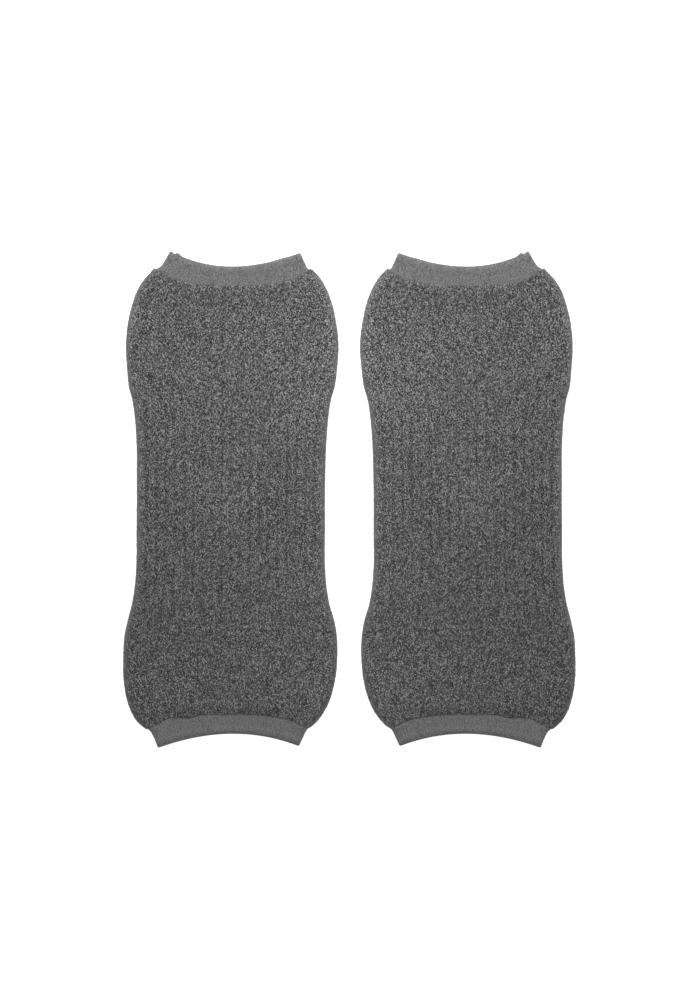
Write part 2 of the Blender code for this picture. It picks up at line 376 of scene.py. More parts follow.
def flat_tube(rows, around, height_at, bow_at, fold_reach, relief):
    """Across, along and height of each point, and how far it faces up, for rows by places around.

    The relief moves a point of the outer face outwards, all of it on the front and none on the back.
    """
    flat_half = rows.half_width - fold_reach
    girth = half_girth(rows, fold_reach)
    from_front = np.abs(around - FRONT) * 2.0 * girth
    side = np.sign(around - FRONT)
    past_fold = np.maximum(from_front - (girth - flat_half), 0.0)
    round_fold = np.clip((from_front - flat_half) / (girth - 2.0 * flat_half), 0.0, 1.0)
    angle = np.pi * (0.5 - round_fold)
    facing = 0.5 + 0.5 * np.sin(angle)
    sink = rows.depth * rows.wall - relief * facing

    def height(across):
        along = place_along(rows.along, bow_at(rows.along), across / rows.half_width)
        return height_at(rows, across, along)

    across = np.minimum(from_front, flat_half) - past_fold + (fold_reach - sink) * np.cos(angle)
    across = side * across
    on_front = np.minimum(from_front, flat_half) * side
    middle = 0.5 * height(side * flat_half)
    rise = middle + (middle - sink) * np.sin(angle)
    rise = rise + np.where(from_front < flat_half, height(on_front) - 2.0 * middle, 0.0)
    along = place_along(rows.along, bow_at(rows.along), across / rows.half_width)
    return across, along, np.maximum(rise, 0.0), facing


print("girth of a body at its widest: %.1f mm" % (2.0 * half_girth(body_rows, BODY_FOLD_REACH).max()))

# %% [markdown]
# ## A wall as one closed mesh
# The points form a grid that closes on itself both ways, like a ring doughnut. Plain array code turns
# it into faces at once. The stitch numbers become the UV map, so a pattern made from it follows the
# knit: U counts the lengthwise rows of stitches round the tube, and V is the length in millimetres.

# %% Grid of points to a mesh
def placed(name, data):
    """A new object of some data, linked into the scene."""
    piece = bpy.data.objects.new(name, data)
    bpy.context.collection.objects.link(piece)
    return piece


def signed_volume(points, faces):
    """Volume inside a closed mesh of four-sided faces, which is negative when they face inwards."""
    a, b, c, d = (points[faces[:, corner]] for corner in range(4))
    first, second = (np.einsum("ij,ij->i", a, np.cross(*pair)) for pair in ((b, c), (c, d)))
    return (first + second).sum() / 6.0


def closed_wall(name, points, stitches, lengths, marks):
    """An object from a grid of points in metres, with its stitch numbers and its marks for colour."""
    row_count, column_count, _ = points.shape
    here = np.arange(row_count * column_count).reshape(row_count, column_count)
    beside = np.roll(here, -1, axis=1)
    corners = (here, beside, np.roll(beside, -1, axis=0), np.roll(here, -1, axis=0))
    faces = np.stack(corners, axis=-1).reshape(-1, 4)
    grid = np.stack(np.meshgrid(stitches, lengths), axis=-1)
    numbers = np.stack((grid[:-1, :-1], grid[:-1, 1:], grid[1:, 1:], grid[1:, :-1]), axis=2)
    numbers = numbers.reshape(-1, 4, 2)

    flat_points = points.reshape(-1, 3)
    if signed_volume(flat_points, faces) < 0.0:
        faces = faces[:, ::-1]
        numbers = numbers[:, ::-1]
    mesh = bpy.data.meshes.new(name)
    mesh.from_pydata(flat_points.tolist(), [], faces.tolist())
    uv_map = mesh.uv_layers.new(name="stitches")
    uv_map.data.foreach_set("uv", numbers.astype(np.float32).ravel())
    for mark, values in marks.items():
        attribute = mesh.attributes.new(mark, "FLOAT", "POINT")
        attribute.data.foreach_set("value", values.astype(np.float32).ravel())
    mesh.shade_smooth()
    mesh.validate()
    print("%s: %d faces, %.1f cubic cm"
          % (name, len(faces), signed_volume(flat_points, faces) / CM ** 3))
    return placed(name, mesh)


# %% [markdown]
# ## The looped body
# Looped knit looks like towelling: small loops of yarn side by side, uneven, with shallow furrows
# along the leg between every second row of stitches. The furrows are deepest round the waist. All of
# it is moved into the wall's outer face, so light catches it from any side. The loops are drawn
# from a seeded generator, so that each run gives the same cloth.

# %% Columns of stitches round a body
WALES = 84
FACES_PER_WALE = 4
BACK_COLUMNS = 24


def columns_around(fine_count, back_count):
    """Places round a tube: few on the back, and many from the inner side over the front."""
    front = np.linspace(INNER_SIDE, OUTER_SIDE, fine_count + 1)
    back = np.linspace(0.0, INNER_SIDE, back_count // 2 + 1)
    return np.concatenate((back[:-1], front, (1.0 - back[::-1])[1:]))


body_around = columns_around(WALES // 2 * FACES_PER_WALE, BACK_COLUMNS)
print("columns of a body:", len(body_around) - 1)

# %% Relief of the looped knit
WAIST_FURROW = 0.35
END_FURROW = 0.12
FURROW_FADE = 85.0
FURROW_SHARPNESS = 2.0
WALE_FURROW = 0.06
LOOP_RISE = 0.13
LOOP_SHIFT = 0.07
HIGHEST_LOOP = 2.2


def furrow_share(around):
    """1 in the furrow between two pairs of lengthwise stitch rows, and 0 on the ribs beside it."""
    return (0.5 + 0.5 * np.cos(np.pi * WALES * (around - FRONT))) ** FURROW_SHARPNESS


def wale_share(around):
    """1 between two neighbouring lengthwise stitch rows, and 0 on top of each."""
    return 0.5 + 0.5 * np.cos(2.0 * np.pi * WALES * (around - FRONT))


def waist_share(rows):
    """1 at the waist, where the furrows are deepest, falling off towards both ends."""
    return np.exp(-(rows.along / FURROW_FADE) ** 2)


def body_relief(rows, around, random):
    """Furrows and loops on the outer face, which end just before the seams."""
    depth = END_FURROW + (WAIST_FURROW - END_FURROW) * waist_share(rows)
    shape = (len(rows.along), around.shape[1])
    loops = np.clip(random.standard_normal(shape), -HIGHEST_LOOP, HIGHEST_LOOP)
    relief = LOOP_RISE * loops - depth * furrow_share(around) - WALE_FURROW * wale_share(around)
    return relief * smooth_step(seam_distance(rows.along) / FOLD_SEAM_FADE) * (rows.depth == 0.0)


print("furrows:", WAIST_FURROW, "mm deep at the waist, down to", END_FURROW, "mm at the ends")

# %% Where the knit is closer, and where loops stand up from it
THIGH_AND_SHIN = (0.0, -75.0)
OPEN_PILE = 1.1
CLOSE_PILE = 0.85
FURROW_PILE_LOSS = 0.5
BOTTOM_SEAM_BARE = 0.8
SEAM_PILE_END = 2.56
SEAM_PILE_FADE = 1.6
LOWEST_FACING = 0.5
FACING_FADE = 0.1
FOLD_CALM_REACH = 3.6


def closeness(rows):
    """0 over the thigh, and 1 over the shin, where the knit is closer and fewer loops stand up."""
    thigh, shin = THIGH_AND_SHIN
    return smooth_step((thigh - rows.along) / (thigh - shin))


def fold_share(rows, across):
    """1 along the two side folds, where the loops are pulled flat, fading out over the front."""
    return np.exp(-((rows.half_width - np.abs(across)) / FOLD_CALM_REACH) ** 2)


def shown_share(rows, facing):
    """1 on the outer face where it is turned up, and 0 on the back and on the inner face."""
    return smooth_step((facing - LOWEST_FACING) / FACING_FADE) * (rows.depth == 0.0)


def pile_share(rows, around, across, facing):
    """Share of the places for a raised loop that hold one: few over the shin, none at the folds."""
    share = OPEN_PILE + (CLOSE_PILE - OPEN_PILE) * closeness(rows)
    share = share - FURROW_PILE_LOSS * furrow_share(around) * waist_share(rows)
    share = share * smooth_step((rows.along - BOTTOM_SEAM) / BOTTOM_SEAM_BARE)
    return share * (1.0 - fold_share(rows, across)) * shown_share(rows, facing)


def top_seam_share(rows, facing):
    """Share of the places for a loop close to the thigh cuff, which hide the seam."""
    from_end = TOP_SEAM + SEAM_LAP - rows.along
    return smooth_step((SEAM_PILE_END - from_end) / SEAM_PILE_FADE) * shown_share(rows, facing)


print("share of the places over the shin that hold a raised loop:", CLOSE_PILE)

# %% [markdown]
# ## Puckers of the seams and edges
# Elastic draws thick cloth in unevenly, so neither a seam nor an open edge is a clean curve. The seams
# wander by a millimetre, the thigh cuff has a small pucker at its outer corner, and its back layer
# peeps out a little past the front near the inner corner. Like the creases, each is listed one by one.

# %% Puckers
# Of each pucker: the line that it moves, its place across, its half width, how far up the leg the line
# goes, and in which layers: front, back or both
Pucker = namedtuple("Pucker", "line across half_width reach front back")

PUCKERS = (
    Pucker(TOP_EDGE, 36.7, 0.9, -0.4, 1.0, 1.0),
    Pucker(TOP_EDGE, 34.4, 1.5, 1.0, 1.0, 1.0),
    Pucker(TOP_EDGE, -27.0, 7.0, 0.5, 0.0, 1.0),
    Pucker(TOP_SEAM, -39.0, 7.0, -1.5, 1.0, 1.0),
    Pucker(TOP_SEAM, 42.0, 3.0, -0.9, 1.0, 1.0),
    Pucker(TOP_SEAM, 14.0, 2.5, 0.5, 1.0, 1.0),
    Pucker(BOTTOM_SEAM, 36.0, 4.0, 1.0, 1.0, 1.0),
    Pucker(BOTTOM_SEAM, 23.0, 5.0, -1.4, 1.0, 1.0),
    Pucker(BOTTOM_SEAM, 0.0, 36.0, 0.7, 1.0, 1.0),
    Pucker(BOTTOM_SEAM, -38.0, 8.0, 0.7, 1.0, 1.0),
)
PUCKER_FADE = 6.0


def pucker_shift(rows, across, facing):
    """How far up the leg the puckers move each point, which fades out away from their lines."""
    total = np.zeros(across.shape)
    for pucker in PUCKERS:
        near = smooth_step(1.0 - np.abs(pucker.line - rows.along) / PUCKER_FADE)
        layer = pucker.front * facing + pucker.back * (1.0 - facing)
        hill = np.exp(-((across - pucker.across) / pucker.half_width) ** 2)
        total += pucker.reach * near * layer * hill
    return total


print("puckers on each warmer:", len(PUCKERS))

# %% [markdown]
# ## Painted light and shade on the knit
# The knit is darker close to the thigh cuff, and over the shin it is closer and more even. Light and
# shade are painted into its colour as well: painted shade down in the furrows, and painted light over
# the side folds, towards the inner side and just above the shin cuff. Soft folds that face the lamp
# get painted light, and those that face away get painted shade. A material for each place would leave
# hard edges, so every point of the mesh bears marks for how light it is, painted light and shade
# included, and how far its greys lie apart, and one material reads them.

# %% Painted light and shade of soft folds
# Of each patch of painted light and shade: its middle and half size, across and along, and how much
# lighter it is
PaintedLightPatch = namedtuple("PaintedLightPatch", "across along half_across half_along lighter")

PAINTED_LIGHT_PATCHES = (
    PaintedLightPatch(-46.0, 62.0, 22.0, 16.0, 0.11),
    PaintedLightPatch(51.0, 122.0, 8.0, 15.0, 0.08),
    PaintedLightPatch(2.0, 2.0, 10.0, 24.0, 0.10),
    PaintedLightPatch(-25.0, -16.0, 11.0, 11.0, -0.12),
    PaintedLightPatch(38.0, -16.0, 8.0, 10.0, -0.12),
    PaintedLightPatch(32.0, -86.0, 24.0, 9.0, -0.11),
    PaintedLightPatch(27.0, 101.0, 15.0, 9.0, -0.09),
    PaintedLightPatch(-37.0, -44.0, 16.0, 7.0, 0.10),
)


def painted_patch_light(rows, across):
    """Painted light of soft folds that face the lamp, and painted shade of those that face away, as a
    factor.
    """
    tone = np.ones(across.shape)
    for patch in PAINTED_LIGHT_PATCHES:
        away = ((across - patch.across) / patch.half_across) ** 2
        away = away + ((rows.along - patch.along) / patch.half_along) ** 2
        tone += patch.lighter * np.exp(-away)
    return tone


print("painted_shading patches on each warmer:", len(PAINTED_LIGHT_PATCHES))

# %% How dark the knit is
THIGH_TONE = 0.975
SHIN_TONE = 0.99
# Painted shade: how much darker the knit is painted down in the furrows and between rows of stitches
FURROW_PAINTED_SHADE = 0.22
WALE_PAINTED_SHADE = 0.10
THIGH_CUFF_DARKENING = 0.18
THIGH_CUFF_REACH = 34.0
# Painted light: how much lighter the knit is painted just above the shin cuff, and over how many
# millimetres
SHIN_CUFF_PAINTED_LIGHT = 0.14
SHIN_CUFF_REACH = 7.0
# Painted light: how much lighter the knit is painted towards its inner side, and darker towards its
# outer side
INNER_PAINTED_LIGHT = 0.085
# Painted light: how much lighter the knit is painted along the side folds, over the thigh and over the
# shin
THIGH_FOLD_PAINTED_LIGHT = 1.0
SHIN_FOLD_PAINTED_LIGHT = 0.6


def body_tone_and_painted_light(rows, around, across, facing):
    """Darker near the thigh cuff, with painted shade in furrows and outwards, and painted light at the
    shin cuff and folds.
    """
    # Painted shade down in the furrows and between the rows of stitches
    painted_furrow_shade = FURROW_PAINTED_SHADE * furrow_share(around) + WALE_PAINTED_SHADE * wale_share(around)
    at_thigh_cuff = smooth_step(1.0 - (TOP_SEAM - rows.along) / THIGH_CUFF_REACH)
    at_shin_cuff = smooth_step(1.0 - (rows.along - BOTTOM_SEAM) / SHIN_CUFF_REACH)
    rows_tone = THIGH_TONE + (SHIN_TONE - THIGH_TONE) * closeness(rows)
    # The knit is darker near the thigh cuff, and painted light lifts it just above the shin cuff
    rows_tone = rows_tone - THIGH_CUFF_DARKENING * at_thigh_cuff + SHIN_CUFF_PAINTED_LIGHT * at_shin_cuff
    # Painted light towards the inner side, painted shade towards the outer side
    inner_painted_light = 1.0 - INNER_PAINTED_LIGHT * across / rows.half_width
    # Painted light along the side folds
    fold_light_strength = THIGH_FOLD_PAINTED_LIGHT + (SHIN_FOLD_PAINTED_LIGHT - THIGH_FOLD_PAINTED_LIGHT) * closeness(rows)
    painted_fold_light = 1.0 + fold_light_strength * fold_share(rows, across)
    # Painted light and shade of the soft folds, less the painted shade of the furrows
    painted_front_light = painted_patch_light(rows, across) - painted_furrow_shade * waist_share(rows)
    return rows_tone * inner_painted_light * painted_fold_light * (1.0 + (painted_front_light - 1.0) * facing)


print("tone over the thigh:", THIGH_TONE, "and over the shin:", SHIN_TONE)

# %% How far the greys of the loops lie apart
THIGH_CONTRAST = 0.96
SHIN_CONTRAST = 0.80
FOLD_BLEND = 0.55


def body_contrast(rows, across):
    """Strong where the knit is open over the thigh, and less at the folds."""
    contrast = THIGH_CONTRAST + (SHIN_CONTRAST - THIGH_CONTRAST) * closeness(rows)
    return contrast * (1.0 - FOLD_BLEND * fold_share(rows, across))


print("contrast over the thigh:", THIGH_CONTRAST, "and over the shin:", SHIN_CONTRAST)

# %% [markdown]
# ## Two mirrored bodies
# The right warmer mirrors the left one in outline and creases, but no two pieces of cloth have the
# same loops. A mirrored copy would show that at once. So one function knits both from the same tables,
# each with a seed of its own.

# %% Knit the two bodies
SEEDS = {"left": 11, "right": 23}


def knit_body(side_name):
    """The looped tube of one warmer."""
    side = SIDES[side_name]
    random = np.random.default_rng(SEEDS[side_name])
    around = body_around[None, :-1]
    relief = body_relief(body_rows, around, random)
    across, along, rise, facing = flat_tube(
        body_rows, around, body_height, body_bow, BODY_FOLD_REACH, relief)
    along = along + pucker_shift(body_rows, across, facing)
    sway = LOOP_SHIFT * (relief != 0.0) * facing
    across = across + sway * random.uniform(-1.0, 1.0, across.shape)
    along = along + sway * random.uniform(-1.0, 1.0, along.shape)
    points = np.stack((side * (body_rows.centre + across), along, rise), axis=-1) * MM
    # The tone mark holds the painted light and shade of the body as well as the knit's own tone
    marks = {
        "tone": body_tone_and_painted_light(body_rows, around, across, facing),
        "contrast": body_contrast(body_rows, across),
        "pile": pile_share(body_rows, around, across, facing),
        "seam_pile": top_seam_share(body_rows, facing),
    }
    marks = {name: np.broadcast_to(values, relief.shape) for name, values in marks.items()}
    return closed_wall(side_name + "_looped_body", points, body_around * WALES, body_rows.length, marks)


bodies = {side_name: knit_body(side_name) for side_name in SIDES}

# %% [markdown]
# ## The elastic cuffs
# A cuff is a fine rib knit with elastic yarn, folded double, so its open edge is round and its ribs
# run along the leg. It is smoother and lighter than the body. The ribs are fine enough for a bump,
# but they catch the light from the side, so they too are in the mesh, all but at the open edge, where
# the fold pulls them flat.

# %% Knit the four cuffs
CUFF_FOLD_REACH = 2.6
CUFF_RIBS = 108
FACES_PER_RIB = 4
CUFF_BACK_COLUMNS = 108
CUFF_ROW_PITCH = 0.45
RIB_HEIGHT = 0.14
CUFF_SWELL = 0.22
CUFF_LOOP_RISE = 0.035
TUCK_LIFT = 0.3
RIB_EDGE_FADE = 2.0

# Of each kind of cuff: its table, its bow, the rims at its lower and upper end, its seam, its open edge
# and how much the greys of its stitches differ
Cuff = namedtuple("Cuff", "sections bow_at rims seam edge marl")

CUFFS = {
    "top_cuff": Cuff(
        TOP_CUFF_SECTIONS, top_cuff_bow, (0.35, 0.8), TOP_SEAM, TOP_EDGE, 0.9),
    "bottom_cuff": Cuff(
        BOTTOM_CUFF_SECTIONS, bottom_cuff_bow, (0.8, 0.35), BOTTOM_SEAM, BOTTOM_EDGE, 0.65),
}
cuff_around = columns_around(CUFF_RIBS // 2 * FACES_PER_RIB, CUFF_BACK_COLUMNS)


def tucked_share(cuff, rows):
    """1 for the rows of a cuff that are inside the body, and 0 for those outside."""
    inside = abs(cuff.seam) + SEAM_LAP - np.abs(rows.along)
    return smooth_step(inside / SEAM_TUCK)


def knit_cuff(side_name, cuff_name):
    """One ribbed cuff, with a seed that the length of its name sets apart."""
    cuff = CUFFS[cuff_name]
    side = SIDES[side_name]
    random = np.random.default_rng(SEEDS[side_name] + len(cuff_name))
    rows = wall_rows(cuff.sections, cuff.bow_at, CUFF_ROW_PITCH, *cuff.rims)
    around = cuff_around[None, :-1]
    grooves = 0.5 + 0.5 * np.cos(2.0 * np.pi * CUFF_RIBS * (around - FRONT))
    loops = random.uniform(-1.0, 1.0, (len(rows.along), around.shape[1]))
    groove_depth = RIB_HEIGHT * smooth_step(np.abs(cuff.edge - rows.along) / RIB_EDGE_FADE)
    relief = CUFF_SWELL + CUFF_LOOP_RISE * loops - groove_depth * grooves
    relief = relief * (rows.depth < 1.0)
    across, along, rise, facing = flat_tube(
        rows, around, cuff_height, cuff.bow_at, CUFF_FOLD_REACH, relief)
    along = along + pucker_shift(rows, across, facing)
    rise = rise + TUCK_LIFT * tucked_share(cuff, rows) * (1.0 - 2.0 * facing)
    points = np.stack((side * (rows.centre + across), along, rise), axis=-1) * MM
    # The groove mark is where the grooves between the ribs get painted shade
    marks = {"painted_groove_shade": grooves * facing, "marl": np.full(relief.shape, cuff.marl)}
    name = side_name + "_ribbed_" + cuff_name
    return closed_wall(name, points, cuff_around * CUFF_RIBS, rows.length, marks)


cuffs = {
    (side_name, cuff_name): knit_cuff(side_name, cuff_name)
    for side_name in SIDES for cuff_name in CUFFS
}

# %% [markdown]
# ## Small helpers for node trees
# A material and a Geometry Nodes tree are both graphs, and both are easier to read as code when one
# call adds a node, sets its values and joins its inputs. A value in `feeds` that is itself a socket
# is linked, and any other value is set on the input.

# %% Add one node
def add(tree, kind, feeds=None, **settings):
    """Adds a node to a tree, with its settings and with what feeds its inputs."""
    node = tree.nodes.new(kind)
    for name, value in settings.items():
        setattr(node, name, value)
    for name, source in (feeds or {}).items():
        if isinstance(source, bpy.types.NodeSocket):
            tree.links.new(source, node.inputs[name])
        else:
            node.inputs[name].default_value = source
    return node


def math_node(tree, operation, first, second=0.0):
    """The result of one sum on two numbers."""
    return add(tree, "ShaderNodeMath", {0: first, 1: second}, operation=operation).outputs[0]


def spread(tree, value, low, high):
    """A value from 0 to 1, brought between two others."""
    feeds = {"Value": value, "To Min": low, "To Max": high}
    return add(tree, "ShaderNodeMapRange", feeds).outputs["Result"]


# %% Start a material, and read what the mesh bears
def new_material(name, plain_values):
    """A material, its tree and its shader, on which all plain values are set."""
    material = bpy.data.materials.new(name)
    material.use_nodes = True
    shader = material.node_tree.nodes["Principled BSDF"]
    for socket_name, value in plain_values.items():
        shader.inputs[socket_name].default_value = value
    return material, material.node_tree, shader


def opaque(grey):
    """A grey as a colour."""
    return (grey, grey, grey, 1.0)


def stitch_numbers(tree):
    """Where each place lies in the knit, as its UV map tells."""
    return add(tree, "ShaderNodeUVMap", uv_map="stitches").outputs["UV"]


def mark_value(tree, mark):
    """The value of one mark of the mesh."""
    return add(tree, "ShaderNodeAttribute", attribute_name=mark).outputs["Fac"]


def flat_noise(tree, place, scale, detail, roughness):
    """Soft noise over a flat pattern."""
    return add(tree, "ShaderNodeTexNoise", {
        "Vector": place, "Scale": scale, "Detail": detail, "Roughness": roughness,
    }, noise_dimensions="2D").outputs


# %% [markdown]
# ## Marled looped knit
# The yarn is spun from dark and light fibres, so every loop has a grey of its own, and the eye sees
# a fine salt and pepper grain. The grain could be plain noise, but noise has no loops in it. Cells of
# a Voronoi pattern in stitch numbers do: eight across each lengthwise row of stitches and two to a
# millimetre up it. A noise bends their edges into curls and breaks them into fibres. How light the
# knit is, with its painted light and shade, and where it is more even, is marked on the mesh.

# %% Greys of the loops
LOOP_GREYS = (
    (0.00, 0.012),
    (0.30, 0.035),
    (0.55, 0.080),
    (0.80, 0.200),
    (1.00, 0.600),
)


def grey_ramp(tree, value, greys):
    """Turns a value from 0 to 1 into a grey, by a few greys between which it blends."""
    ramp = add(tree, "ShaderNodeValToRGB", {"Fac": value})
    stops = ramp.color_ramp.elements
    while len(stops) < len(greys):
        stops.new(0.5)
    for stop, (position, grey) in zip(stops, greys):
        stop.position = position
        stop.color = opaque(grey)
    return ramp.outputs["Color"]


print("greys of the loops:", ", ".join(str(grey) for _, grey in LOOP_GREYS))

# %% Finish of the bodies
LOOPS_PER_WALE = 8.0
LOOP_HEIGHT = 0.52
WISP = 1.4
FIBRE_REACH = 0.9
BLOTCH_TONES = (0.92, 1.08)
LOOP_ROUGHNESS = (0.88, 1.0)
LOOP_BUMP = {"Strength": 0.6, "Distance": 0.0003}

# Scale, detail and roughness of each noise
WISP_NOISE = (1.1, 1.0, 0.5)
FIBRE_NOISE = (1.4, 2.0, 0.5)
BLOTCH_NOISE = (0.09, 2.0, 0.5)
KNIT_FINISH = {"Specular IOR Level": 0.2, "Sheen Weight": 0.3, "Sheen Roughness": 0.5}


def looped_knit():
    """Thick looped knit, matt and marled."""
    material, tree, shader = new_material("marled_looped_knit", KNIT_FINISH)
    loops = add(tree, "ShaderNodeMapping", {
        "Vector": stitch_numbers(tree), "Scale": (LOOPS_PER_WALE, 1.0 / LOOP_HEIGHT, 1.0),
    }).outputs["Vector"]
    wisps = flat_noise(tree, loops, *WISP_NOISE)["Color"]
    wispy = add(tree, "ShaderNodeVectorMath", {
        0: wisps, 1: (WISP, WISP, 0.0), 2: loops}, operation="MULTIPLY_ADD").outputs[0]
    cells = add(tree, "ShaderNodeTexVoronoi", {"Vector": wispy, "Scale": 1.0}, voronoi_dimensions="2D")
    cell_grey = add(tree, "ShaderNodeSeparateColor", {"Color": cells.outputs["Color"]}).outputs["Red"]
    fibre = spread(tree, flat_noise(tree, wispy, *FIBRE_NOISE)["Fac"], -FIBRE_REACH, FIBRE_REACH)
    from_mid = math_node(tree, "SUBTRACT", math_node(tree, "ADD", cell_grey, fibre), 0.5)
    from_mid = math_node(tree, "MULTIPLY", from_mid, mark_value(tree, "contrast"))
    grey = grey_ramp(tree, math_node(tree, "ADD", from_mid, 0.5), LOOP_GREYS)

    blotches = spread(tree, flat_noise(tree, loops, *BLOTCH_NOISE)["Fac"], *BLOTCH_TONES)
    # The tone mark brings the painted light and shade of the body along with the knit's own tone
    tone = math_node(tree, "MULTIPLY", mark_value(tree, "tone"), blotches)
    colour = add(tree, "ShaderNodeVectorMath", {0: grey, "Scale": tone}, operation="SCALE").outputs[0]
    tree.links.new(colour, shader.inputs["Base Color"])

    roundness = math_node(tree, "SUBTRACT", 1.0, cells.outputs["Distance"])
    height = math_node(tree, "ADD", roundness, fibre)
    bump = add(tree, "ShaderNodeBump", {"Height": height, **LOOP_BUMP})
    tree.links.new(bump.outputs["Normal"], shader.inputs["Normal"])
    tree.links.new(spread(tree, cell_grey, *LOOP_ROUGHNESS), shader.inputs["Roughness"])
    return material


marled_knit = looped_knit()
for body in bodies.values():
    body.data.materials.append(marled_knit)
print("finish of the bodies:", marled_knit.name)

# %% [markdown]
# ## Loops that stand up
# Light catches single loops that stand up from the others, and they also blur the line where the body
# meets the thigh cuff. A particle system could spread them, but Geometry Nodes keep every step in
# sight: points are scattered on the cloth where its mark allows, and a small arch of yarn is put on
# each, lengthways along the leg but a little turned and tilted. The arch has only a few faces,
# because there are thousands.

# %% Yarns of the raised loops, lightened by painted light
# The four greys spread like the marl, but all are lifted above the body's greys as painted light, for
# loops that stand up into the light
YARN_GREYS_WITH_PAINTED_LIGHT = {"dark_yarn": 0.045, "mid_yarn": 0.10, "light_yarn": 0.21, "pale_yarn": 0.40}
YARN_FINISH = {"Roughness": 0.95, "Specular IOR Level": 0.2, "Sheen Weight": 0.2}

yarns = {
    name: new_material(name, {"Base Color": opaque(grey), **YARN_FINISH})[0]
    for name, grey in YARN_GREYS_WITH_PAINTED_LIGHT.items()
}
print("yarns:", ", ".join(yarns))

# %% Inputs and random numbers of a tree
def named_inputs(tree, inputs):
    """Gives a tree its named inputs, and returns the sockets that bring them in."""
    for name, kind in inputs.items():
        tree.interface.new_socket(name, in_out="INPUT", socket_type=kind)
    return tree.nodes.new("NodeGroupInput").outputs


def random_value(tree, low, high, seed, data_type="FLOAT"):
    """A random number, or three of them, of its own at each point."""
    first = {"FLOAT_VECTOR": 0, "FLOAT": 2, "INT": 4}[data_type]
    node = add(tree, "FunctionNodeRandomValue", data_type=data_type)
    node.inputs[first].default_value = low
    node.inputs[first + 1].default_value = high
    tree.links.new(seed, node.inputs["Seed"])
    return node.outputs[first // 2]


# %% One loop of yarn
def arch_of_yarn(tree, length, height, radius):
    """One loop: a bent thread of three sides, closed at both ends, which sink into the cloth."""
    sunk = math_node(tree, "MULTIPLY", radius, -1.0)
    start, end = (add(tree, "ShaderNodeCombineXYZ", {
        "X": math_node(tree, "MULTIPLY", length, share), "Z": sunk}).outputs[0] for share in (-0.5, 0.5))
    top = add(tree, "ShaderNodeCombineXYZ", {"Z": math_node(tree, "MULTIPLY", height, 2.0)}).outputs[0]
    bend = add(tree, "GeometryNodeCurveQuadraticBezier", {
        "Resolution": 2, "Start": start, "Middle": top, "End": end})
    thread = add(tree, "GeometryNodeCurvePrimitiveCircle", {"Resolution": 3, "Radius": radius})
    return add(tree, "GeometryNodeCurveToMesh", {
        "Curve": bend.outputs["Curve"], "Profile Curve": thread.outputs["Curve"],
        "Fill Caps": True}).outputs["Mesh"]


# %% Scatter places, and pick a yarn for each
TRIES_PER_PLACE = 1.5


def scattered(tree, inputs):
    """Points on the cloth, at least the spacing apart, as dense as the cloth's mark says."""
    mark = add(tree, "GeometryNodeInputNamedAttribute", {"Name": inputs["Mark"]}, data_type="FLOAT")
    area = math_node(tree, "MULTIPLY", inputs["Spacing"], inputs["Spacing"])
    return add(tree, "GeometryNodeDistributePointsOnFaces", {
        "Mesh": inputs["Cloth"], "Distance Min": inputs["Spacing"],
        "Density Max": math_node(tree, "DIVIDE", TRIES_PER_PLACE, area),
        "Density Factor": mark.outputs["Attribute"], "Seed": inputs["Seed"],
    }, distribute_method="POISSON")


def spun(tree, geometry, inputs):
    """Gives each loop the yarn of its number, by one step for each yarn."""
    number = add(tree, "GeometryNodeInputNamedAttribute", {"Name": "yarn_number"}, data_type="INT")
    for position, name in enumerate(yarns):
        chosen = add(tree, "FunctionNodeCompare", {2: number.outputs["Attribute"], 3: position},
                     data_type="INT", operation="EQUAL")
        geometry = add(tree, "GeometryNodeSetMaterial", {
            "Geometry": geometry, "Selection": chosen.outputs["Result"], "Material": inputs[name],
        }).outputs["Geometry"]
    return geometry


# %% A tree that grows loops on cloth
LOOP_TURN = 0.6
LOOP_TILT = 0.35
LOOP_SIZES = (0.65, 1.3)


